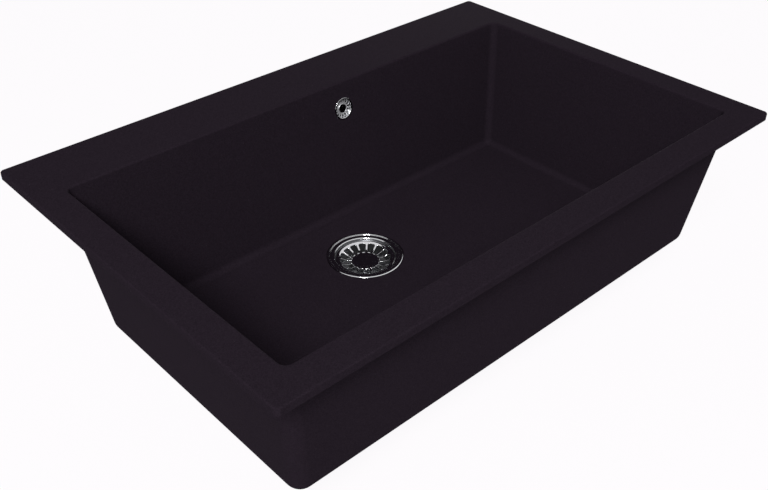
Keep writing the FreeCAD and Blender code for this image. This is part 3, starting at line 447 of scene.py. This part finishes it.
@dataclass
class PressedDish:
    """A round pressing in steel sheet: a bent profile, turned about Z, with a ring of windows."""

    node: str
    body: Body
    slot: Slot
    profile: tuple[Corner, ...]
    windows: Windows
    sheet: float
    place: Matrix
    steps: int
    punched_edge: float = 0.25
    bend_segments: int = 4
    rounding_levels: int = 1
    zone: Zone | None = None

    def build(self) -> bpy.types.Object:
        """Presses one sector with its window, repeats it round the axis and fits it in its node's place.

        Returns:
            The finished pressing.
        """
        shape = bmesh.new()
        self.draw_profile(shape)
        pitch = 2 * math.pi / self.windows.count
        to_edge = Matrix.Rotation(-pitch / 2, 3, "Z")
        bmesh.ops.rotate(shape, verts=shape.verts, cent=(0, 0, 0), matrix=to_edge)
        spin_all(shape, pitch, self.steps)
        self.punch_window(shape, pitch)
        spin_all(shape, 2 * math.pi - pitch, self.windows.count - 1, copies=True)
        bmesh.ops.remove_doubles(shape, verts=shape.verts, dist=MERGE)
        bmesh.ops.recalc_face_normals(shape, faces=shape.faces)
        if self.zone is not None:
            for face in shape.faces:
                radius = face.calc_center_median().xy.length / MM
                face.material_index = int(self.zone.inner < radius < self.zone.outer)
        bmesh.ops.transform(shape, matrix=self.place, verts=shape.verts)
        piece = new_piece(self.node + "_pressing", shape)
        self.dress(piece)
        fit_piece(piece, self.node, self.body, self.slot)
        return piece

    def draw_profile(self, shape: bmesh.types.BMesh) -> None:
        """Draws the upper face's line in the XZ plane and rounds its bends.

        Args:
            shape: empty mesh that takes the line.
        """
        points = [shape.verts.new((c.radius * MM, 0, c.height * MM)) for c in self.profile]
        for start, end in zip(points, points[1:]):
            shape.edges.new((start, end))
        flat = [Vector((c.radius, c.height)) for c in self.profile]
        for i, corner in enumerate(self.profile):
            if corner.bend:
                turn = (flat[i] - flat[i - 1]).angle(flat[i + 1] - flat[i])
                bmesh.ops.bevel(shape, geom=[points[i]], offset=corner.bend * MM * math.tan(turn / 2),
                                offset_type="OFFSET", segments=self.bend_segments, profile=0.5,
                                affect="VERTICES", material=-1)

    def punch_window(self, shape: bmesh.types.BMesh, pitch: float) -> None:
        """Cuts the window of one sector, with a support line beside each edge to keep it crisp.

        Args:
            shape: one sector, centred on the X axis.
            pitch: angle of the sector in radians.
        """
        ring = self.windows
        ahead = Vector((1, 0, 0))
        sides = [Matrix.Rotation(way * pitch / 2, 3, "Z") @ Vector((0, way, 0)) for way in (1, -1)]
        # Each plane as its normal, out of the window, and its distance from the axis
        planes = [(-ahead, -ring.inner), (ahead, ring.outer)] + [(side, -ring.bar / 2) for side in sides]
        if ring.corner:
            for side in sides:
                # The tip, where the outer plane meets the side's plane, as a sum of their two normals
                along = (ring.outer - side.x * -ring.bar / 2) / (1 - side.x ** 2)
                across = (-ring.bar / 2 - side.x * ring.outer) / (1 - side.x ** 2)
                tip = ahead * along + side * across
                slant = (ahead + side).normalized()
                planes.append((slant, slant.dot(tip) - ring.corner / math.sqrt(2)))
        for spare in (0, self.punched_edge):
            for normal, distance in planes:
                self.cut_ring(shape, normal * (distance + spare) * MM, normal)
        window = [face for face in shape.faces if all(
            normal.dot(face.calc_center_median()) < distance * MM for normal, distance in planes)]
        bmesh.ops.delete(shape, geom=window, context="FACES")
        # The lip stops short of each bar by twice the support line's distance
        half_width = ring.inner * math.tan(pitch / 2) - ring.bar / 2
        lip_end = half_width - 2 * self.punched_edge
        lip = [vert for vert in shape.verts
               if abs(vert.co.x - ring.inner * MM) < MERGE and abs(vert.co.y) < lip_end * MM]
        bmesh.ops.translate(shape, verts=lip, vec=(0, 0, ring.lip * MM))

    def cut_ring(self, shape: bmesh.types.BMesh, point: Vector, normal: Vector) -> None:
        """Cuts the faces around the windows along one plane.

        Args:
            shape: one sector.
            point: a point of the plane, in metres.
            normal: the plane's normal.
        """
        margin = 2 * self.windows.bar
        low, high = (self.windows.inner - margin) * MM, (self.windows.outer + margin) * MM
        band = [face for face in shape.faces if low < face.calc_center_median().xy.length < high]
        edges = {edge for face in band for edge in face.edges}
        verts = {vert for face in band for vert in face.verts}
        bmesh.ops.bisect_plane(shape, geom=[*verts, *edges, *band], dist=ON_PLANE, plane_co=point,
                               plane_no=normal)

    def dress(self, piece: bpy.types.Object) -> None:
        """Gives the sheet its thickness, rounded edges and finish.

        Args:
            piece: the pressing's upper face.
        """
        piece.data.materials.append(FINISHES[self.slot].material())
        if self.zone is not None:
            piece.data.materials.append(self.zone.finish.material())
        sheet = piece.modifiers.new("sheet", "SOLIDIFY")
        sheet.thickness = self.sheet * MM
        # The sheet lies wholly under its upper face
        sheet.offset = -1
        sheet.use_even_offset = True
        rounding = piece.modifiers.new("rounding", "SUBSURF")
        rounding.levels = rounding.render_levels = self.rounding_levels


@dataclass
class ThreadedSpigot:
    """The outlet tube with its moulded outside thread, a G 1 1/2 pipe thread, in millimetres."""

    node: str = "outlet_spigot"
    radius: float = 23.9
    bore: float = 20.0
    pitch: float = 2.309
    depth: float = 1.479
    crest_round: float = 0.25
    crest_segments: int = 2
    # Teeth past each end of the thread, which are trimmed off
    spare_teeth: int = 2
    collar: float = 5.0
    runout: float = 1.0
    lead: float = 1.6
    lead_chamfer: float = 0.6
    steps: int = 72
    # Edges that turn by more degrees than this stay sharp
    sharp_angle: float = 40.0

    def build(self) -> bpy.types.Object:
        """Cuts the thread, draws both its ends in to the bore, joins them and fits the tube in its place.

        Returns:
            The threaded tube.
        """
        low, high = (corner.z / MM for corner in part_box(self.node))
        thread_low, thread_high = low + self.lead, high - self.collar
        shape = bmesh.new()
        self.cut_thread(shape, thread_low, thread_high)
        root = self.radius - self.depth
        top = self.rim_at(shape, thread_high)
        for radius, height in ((self.radius, thread_high + self.runout), (self.radius, high),
                               (self.bore, high)):
            top = self.draw_out(shape, top, radius, height)
        foot = self.rim_at(shape, thread_low)
        for radius, height in ((root, low + self.lead_chamfer), (root - self.lead_chamfer, low),
                               (self.bore, low)):
            foot = self.draw_out(shape, foot, radius, height)
        bmesh.ops.bridge_loops(shape, edges=top + foot)
        bmesh.ops.recalc_face_normals(shape, faces=shape.faces)
        bmesh.ops.translate(shape, verts=shape.verts, vec=(*AXIS, 0))
        piece = new_piece(self.node + "_threaded", shape)
        piece.data.set_sharp_from_angle(angle=math.radians(self.sharp_angle))
        piece.data.materials.append(FITTING_PLASTIC.material())
        fit_piece(piece, self.node, Body.SINK, Slot.FITTING_PLASTIC)
        return piece

    def cut_thread(self, shape: bmesh.types.BMesh, low: float, high: float) -> None:
        """Sweeps a row of teeth through one rising turn and trims its ends level.

        Args:
            shape: empty mesh that takes the thread.
            low: height of the thread's lower end.
            high: height of its upper end.
        """
        start = low - self.spare_teeth * self.pitch
        teeth = math.ceil((high - low) / self.pitch) + 2 * self.spare_teeth
        radii = (self.radius - self.depth, self.radius)
        points = [shape.verts.new((radii[i % 2] * MM, 0, (start + i * self.pitch / 2) * MM))
                  for i in range(2 * teeth + 1)]
        for lower, upper in zip(points, points[1:]):
            shape.edges.new((lower, upper))
        bmesh.ops.bevel(shape, geom=points[1:-1], offset=self.crest_round * MM, offset_type="OFFSET",
                        segments=self.crest_segments, profile=0.5, affect="VERTICES", material=-1)
        spin_all(shape, 2 * math.pi, self.steps, rise=self.pitch * MM / self.steps)
        bmesh.ops.remove_doubles(shape, verts=shape.verts, dist=MERGE)
        for height, way in ((low, -1), (high, 1)):
            geometry = shape.verts[:] + shape.edges[:] + shape.faces[:]
            bmesh.ops.bisect_plane(shape, geom=geometry, dist=ON_PLANE, plane_co=(0, 0, height * MM),
                                   plane_no=(0, 0, way), clear_outer=True)

    def rim_at(self, shape: bmesh.types.BMesh, height: float) -> list[bmesh.types.BMEdge]:
        """Returns the open edges that lie at one height."""
        return [edge for edge in shape.edges if edge.is_boundary
                and all(abs(vert.co.z - height * MM) < MERGE for vert in edge.verts)]

    def draw_out(self, shape: bmesh.types.BMesh, rim: list[bmesh.types.BMEdge], radius: float,
                 height: float) -> list[bmesh.types.BMEdge]:
        """Draws an open rim out to a level circle.

        Args:
            shape: mesh that has the rim.
            rim: the rim's edges.
            radius: radius of the circle.
            height: height of the circle.

        Returns:
            The edges of the new rim.
        """
        made = bmesh.ops.extrude_edge_only(shape, edges=rim)["geom"]
        for vert in (part for part in made if isinstance(part, bmesh.types.BMVert)):
            around = vert.co.xy.normalized() * radius * MM
            vert.co = (around.x, around.y, height * MM)
        return [part for part in made if isinstance(part, bmesh.types.BMEdge) and part.is_boundary]


@dataclass
class SubAssembly:
    """Pieces that are fitted together: builds its own meshes and dresses its construction nodes."""

    nodes: tuple[str, ...]

    def build(self) -> None:
        """Builds the meshes that stand for construction nodes, where there are any."""

    def dress(self) -> None:
        """Gives each construction node the finish of its material slot."""
        slots = {row["node"]: Slot(row["material_slot"]) for row in frame["record"]["subparts"]}
        for name in self.nodes:
            mesh = frame["nodes"][name].data
            mesh.materials.clear()
            mesh.materials.append(FINISHES[slots[name]].material())
            LOG.info("dressed %s in %s", name, slots[name].value)


@dataclass
class Basin(SubAssembly):
    """The stone casting."""

    nodes: tuple[str, ...] = ("sink_bowl",)


@dataclass
class StrainerWaste(SubAssembly):
    """Drain flange with its gaskets and screw, and the lift-out basket with its stopper."""

    nodes: tuple[str, ...] = (
        "drain_flange", "flange_gasket", "floor_gasket", "drain_screw", "screw_insert", "strainer_basket",
        "basket_stem", "stopper_plate", "stopper_seal", "stem_nut")
    sheet: float = 1.0
    # Heights from the bead's crown
    flange_profile: tuple[Corner, ...] = (
        Corner(55.0, -2.7), Corner(55.0, 0.0, 1.2), Corner(51.9, 0.0, 0.7), Corner(51.4, -1.2, 0.7),
        Corner(43.6, -1.2, 2.0), Corner(43.6, -5.4, 0.5), Corner(40.5, -5.4, 1.5), Corner(38.5, -27.9, 2.5),
        Corner(19.0, -27.9, 2.0), Corner(19.0, -37.9, 1.0), Corner(5.7, -37.9), Corner(5.4, -37.9))
    flange_windows: Windows = Windows(count=6, inner=9.5, outer=16.5, bar=3.0)
    flange_steps: int = 14
    # The cup inside this radius is left as drawn, in a darker colour that is painted shade under the basket,
    # and the flange round it is polished
    cup_reach: float = 43.7
    # Heights from the basket's ring
    basket_profile: tuple[Corner, ...] = (
        Corner(43.0, 0.0), Corner(42.7, 0.0), Corner(39.6, 0.0, 7.9), Corner(27.9, -6.0, 20.0),
        Corner(21.4, -6.0), Corner(19.2, -6.0), Corner(8.0, -6.0), Corner(0.0, -6.0))
    basket_windows: Windows = Windows(count=16, inner=20.2, outer=36.6, bar=2.6, corner=2.4, lip=0.6)
    basket_steps: int = 6

    def build(self) -> None:
        """Presses the flange and the basket."""
        flange_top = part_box("drain_flange")[1].z
        # The flange's cup takes the darker drawn steel, whose colour is painted shade under the basket
        PressedDish("drain_flange", Body.SINK, Slot.POLISHED_STEEL, self.flange_profile,
                    self.flange_windows, self.sheet, Matrix.Translation((*AXIS, flange_top)),
                    self.flange_steps, zone=Zone(DRAWN_STEEL_PAINTED_SHADE, 0.0, self.cup_reach)).build()
        basket_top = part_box("strainer_basket")[1].z
        half_pitch = Matrix.Rotation(math.pi / self.basket_windows.count, 4, "Z")
        PressedDish("strainer_basket", Body.BASKET, Slot.POLISHED_STEEL, self.basket_profile,
                    self.basket_windows, self.sheet, Matrix.Translation((*AXIS, basket_top)) @ half_pitch,
                    self.basket_steps).build()


@dataclass
class DrainFitting(SubAssembly):
    """Moulded drain body under the floor, with its outlet."""

    nodes: tuple[str, ...] = ("drain_body", "outlet_spigot")
    spigot: ThreadedSpigot = field(default_factory=ThreadedSpigot)

    def build(self) -> None:
        """Moulds the outlet's thread."""
        self.spigot.build()


@dataclass
class Overflow(SubAssembly):
    """Rosette on the back wall with its screw, and the elbow and pipe behind the wall."""

    nodes: tuple[str, ...] = (
        "overflow_rosette", "overflow_screw", "overflow_gasket", "overflow_elbow", "overflow_insert",
        "overflow_pipe", "upper_pipe_nut", "upper_pipe_seal", "lower_pipe_nut", "lower_pipe_seal")
    sheet: float = 0.8
    # Where the rosette's axis meets the back wall's inner face, in millimetres
    right_of_middle: float = 52.0
    below_rim: float = 41.0
    # From the rim's back edge to the bowl's mouth in millimetres, and the wall's lean in degrees
    ledge: float = 94.0
    wall_draft: float = 7.0
    # Heights out of the wall
    profile: tuple[Corner, ...] = (
        Corner(16.4, 0.05), Corner(16.4, 1.2, 0.5), Corner(13.7, 1.2, 0.9), Corner(13.1, -3.4, 0.4),
        Corner(2.9, -3.4), Corner(2.6, -3.4))
    windows: Windows = Windows(count=16, inner=9.8, outer=12.8, bar=1.9)
    steps: int = 4
    # The dish inside this radius is satin, and the rim round it is polished
    dish_reach: float = 13.05
    punched_edge: float = 0.12

    def build(self) -> None:
        """Presses the rosette, with a satin dish and a polished rim."""
        back, top = CAD_BOX[1].y / MM, CAD_BOX[1].z / MM
        wall = back - self.ledge - self.below_rim * math.tan(math.radians(self.wall_draft))
        centre = Vector((self.right_of_middle, wall, top - self.below_rim))
        tilt = Matrix.Rotation(math.radians(90 - self.wall_draft), 4, "X")
        rim = Zone(POLISHED_STEEL, self.dish_reach, self.profile[0].radius + self.sheet)
        PressedDish("overflow_rosette", Body.SINK, Slot.SATIN_STEEL, self.profile, self.windows, self.sheet,
                    Matrix.Translation(centre * MM) @ tilt, self.steps, punched_edge=self.punched_edge,
                    zone=rim).build()


@dataclass(frozen=True)
class Lamp:
    """A soft square lamp that is aimed at the object: place and size in metres, power in watts."""

    name: str
    place: tuple[float, float, float]
    size: float
    power: float

    def build(self, target: Vector) -> None:
        """Hangs the lamp.

        Args:
            target: point that the lamp is aimed at.
        """
        lamp = bpy.data.lights.new(self.name, "AREA")
        lamp.size = self.size
        lamp.energy = self.power
        holder = bpy.data.objects.new(self.name, lamp)
        holder.location = self.place
        holder.rotation_euler = (target - Vector(self.place)).to_track_quat("-Z", "Y").to_euler()
        bpy.context.scene.collection.objects.link(holder)


@dataclass
class Studio:
    """White studio: floor, surround, two soft lamps and the photograph's camera."""

    floor_reach: float = 40.0
    floor_drop: float = 0.5 * MM
    white: str = "#FFFDFF"
    # Where they only throw light on the object: the floor's tone and the surround's strength
    bounce: str = "#D0D0D0"
    sky_level: float = 0.2
    # Where they are seen: the share of glow in the white floor, and the surround's strength
    floor_glow: float = 0.93
    seen_level: float = 1.0
    # A lamp on the camera's side lights all in view about alike, and a low one behind lights the far sides
    lamps: tuple[Lamp, ...] = (Lamp("soft_lamp", (-3.05, -2.8, 3.75), 1.6, 290.0),
                               Lamp("back_lamp", (3.2, 2.8, -0.05), 0.9, 150.0))
    # Solved from the rim's and bowl's edges: place in metres, angles in degrees, lens in millimetres
    camera_place: tuple[float, float, float] = (-0.764483, -0.796794, 0.622131)
    camera_pitch: float = 35.135
    camera_yaw: float = -42.532
    camera_lens: float = 45.525

    def build(self) -> None:
        """Sets up the view, floor, light and camera."""
        bpy.context.scene.view_settings.view_transform = "Standard"
        self.build_floor()
        self.build_world()
        for lamp in self.lamps:
            lamp.build((CAD_BOX[0] + CAD_BOX[1]) / 2)
        self.build_camera()

    def seen_rays(self, tree: bpy.types.NodeTree) -> bpy.types.NodeSocket:
        """Tells rays that see the surround from rays that only carry its light.

        Args:
            tree: node tree that takes the nodes.

        Returns:
            A socket that is one on camera, glossy and transmission rays and zero on the others.
        """
        path = add_node(tree, "ShaderNodeLightPath")
        shiny = add_node(tree, "ShaderNodeMath", {
            0: path.outputs["Is Camera Ray"], 1: path.outputs["Is Glossy Ray"]}, operation="MAXIMUM")
        every = add_node(tree, "ShaderNodeMath", {
            0: shiny.outputs[0], 1: path.outputs["Is Transmission Ray"]}, operation="MAXIMUM")
        return every.outputs[0]

    def build_floor(self) -> None:
        """Lays a white floor just under the outlet: it keeps the object's shadow and is clear from below."""
        shape = bmesh.new()
        bmesh.ops.create_grid(shape, x_segments=1, y_segments=1, size=self.floor_reach,
                              matrix=Matrix.Translation((0, 0, CAD_BOX[0].z - self.floor_drop)))
        floor = new_piece("studio_floor", shape)
        paint = bpy.data.materials.new("studio_white")
        paint.use_nodes = True
        tree = paint.node_tree
        tree.nodes.clear()
        seen = self.seen_rays(tree)
        tone = add_node(tree, "ShaderNodeMix", {
            "Factor": seen, "A": linear(self.bounce), "B": linear(self.white)}, data_type="RGBA")
        lit = add_node(tree, "ShaderNodeBsdfDiffuse", {"Color": tone.outputs["Result"]})
        glow = add_node(tree, "ShaderNodeEmission", {"Color": linear(self.white)})
        share = add_node(tree, "ShaderNodeMath", {0: seen, 1: self.floor_glow}, operation="MULTIPLY")
        top = add_node(tree, "ShaderNodeMixShader", {
            0: share.outputs[0], 1: lit.outputs[0], 2: glow.outputs[0]})
        side = add_node(tree, "ShaderNodeNewGeometry").outputs["Backfacing"]
        clear = add_node(tree, "ShaderNodeBsdfTransparent")
        mix = add_node(tree, "ShaderNodeMixShader", {0: side, 1: top.outputs[0], 2: clear.outputs[0]})
        add_node(tree, "ShaderNodeOutputMaterial", {"Surface": mix.outputs[0]})
        floor.data.materials.append(paint)

    def build_world(self) -> None:
        """Makes an even white surround that lights the object at a plain level."""
        world = bpy.data.worlds.new("studio_surround")
        world.use_nodes = True
        tree = world.node_tree
        tree.nodes.clear()
        light = add_node(tree, "ShaderNodeBackground", {
            "Color": linear(self.white), "Strength": self.sky_level})
        seen = add_node(tree, "ShaderNodeBackground", {
            "Color": linear(self.white), "Strength": self.seen_level})
        mix = add_node(tree, "ShaderNodeMixShader", {
            0: self.seen_rays(tree), 1: light.outputs[0], 2: seen.outputs[0]})
        add_node(tree, "ShaderNodeOutputWorld", {"Surface": mix.outputs[0]})
        bpy.context.scene.world = world

    def build_camera(self) -> None:
        """Stands the camera where the photograph was taken from."""
        lens = bpy.data.cameras.new("photo_camera")
        lens.lens = self.camera_lens
        camera = bpy.data.objects.new("photo_camera", lens)
        camera.location = self.camera_place
        camera.rotation_euler = (math.radians(90 - self.camera_pitch), 0, math.radians(self.camera_yaw))
        bpy.context.scene.collection.objects.link(camera)
        bpy.context.scene.camera = camera


def main() -> None:
    """Builds and dresses each sub-assembly and sets up the studio."""
    logging.basicConfig(level=logging.INFO)
    for assembly in (Basin(), StrainerWaste(), DrainFitting(), Overflow()):
        assembly.dress()
        assembly.build()
    Studio().build()


if __name__ == "__main__":
    main()
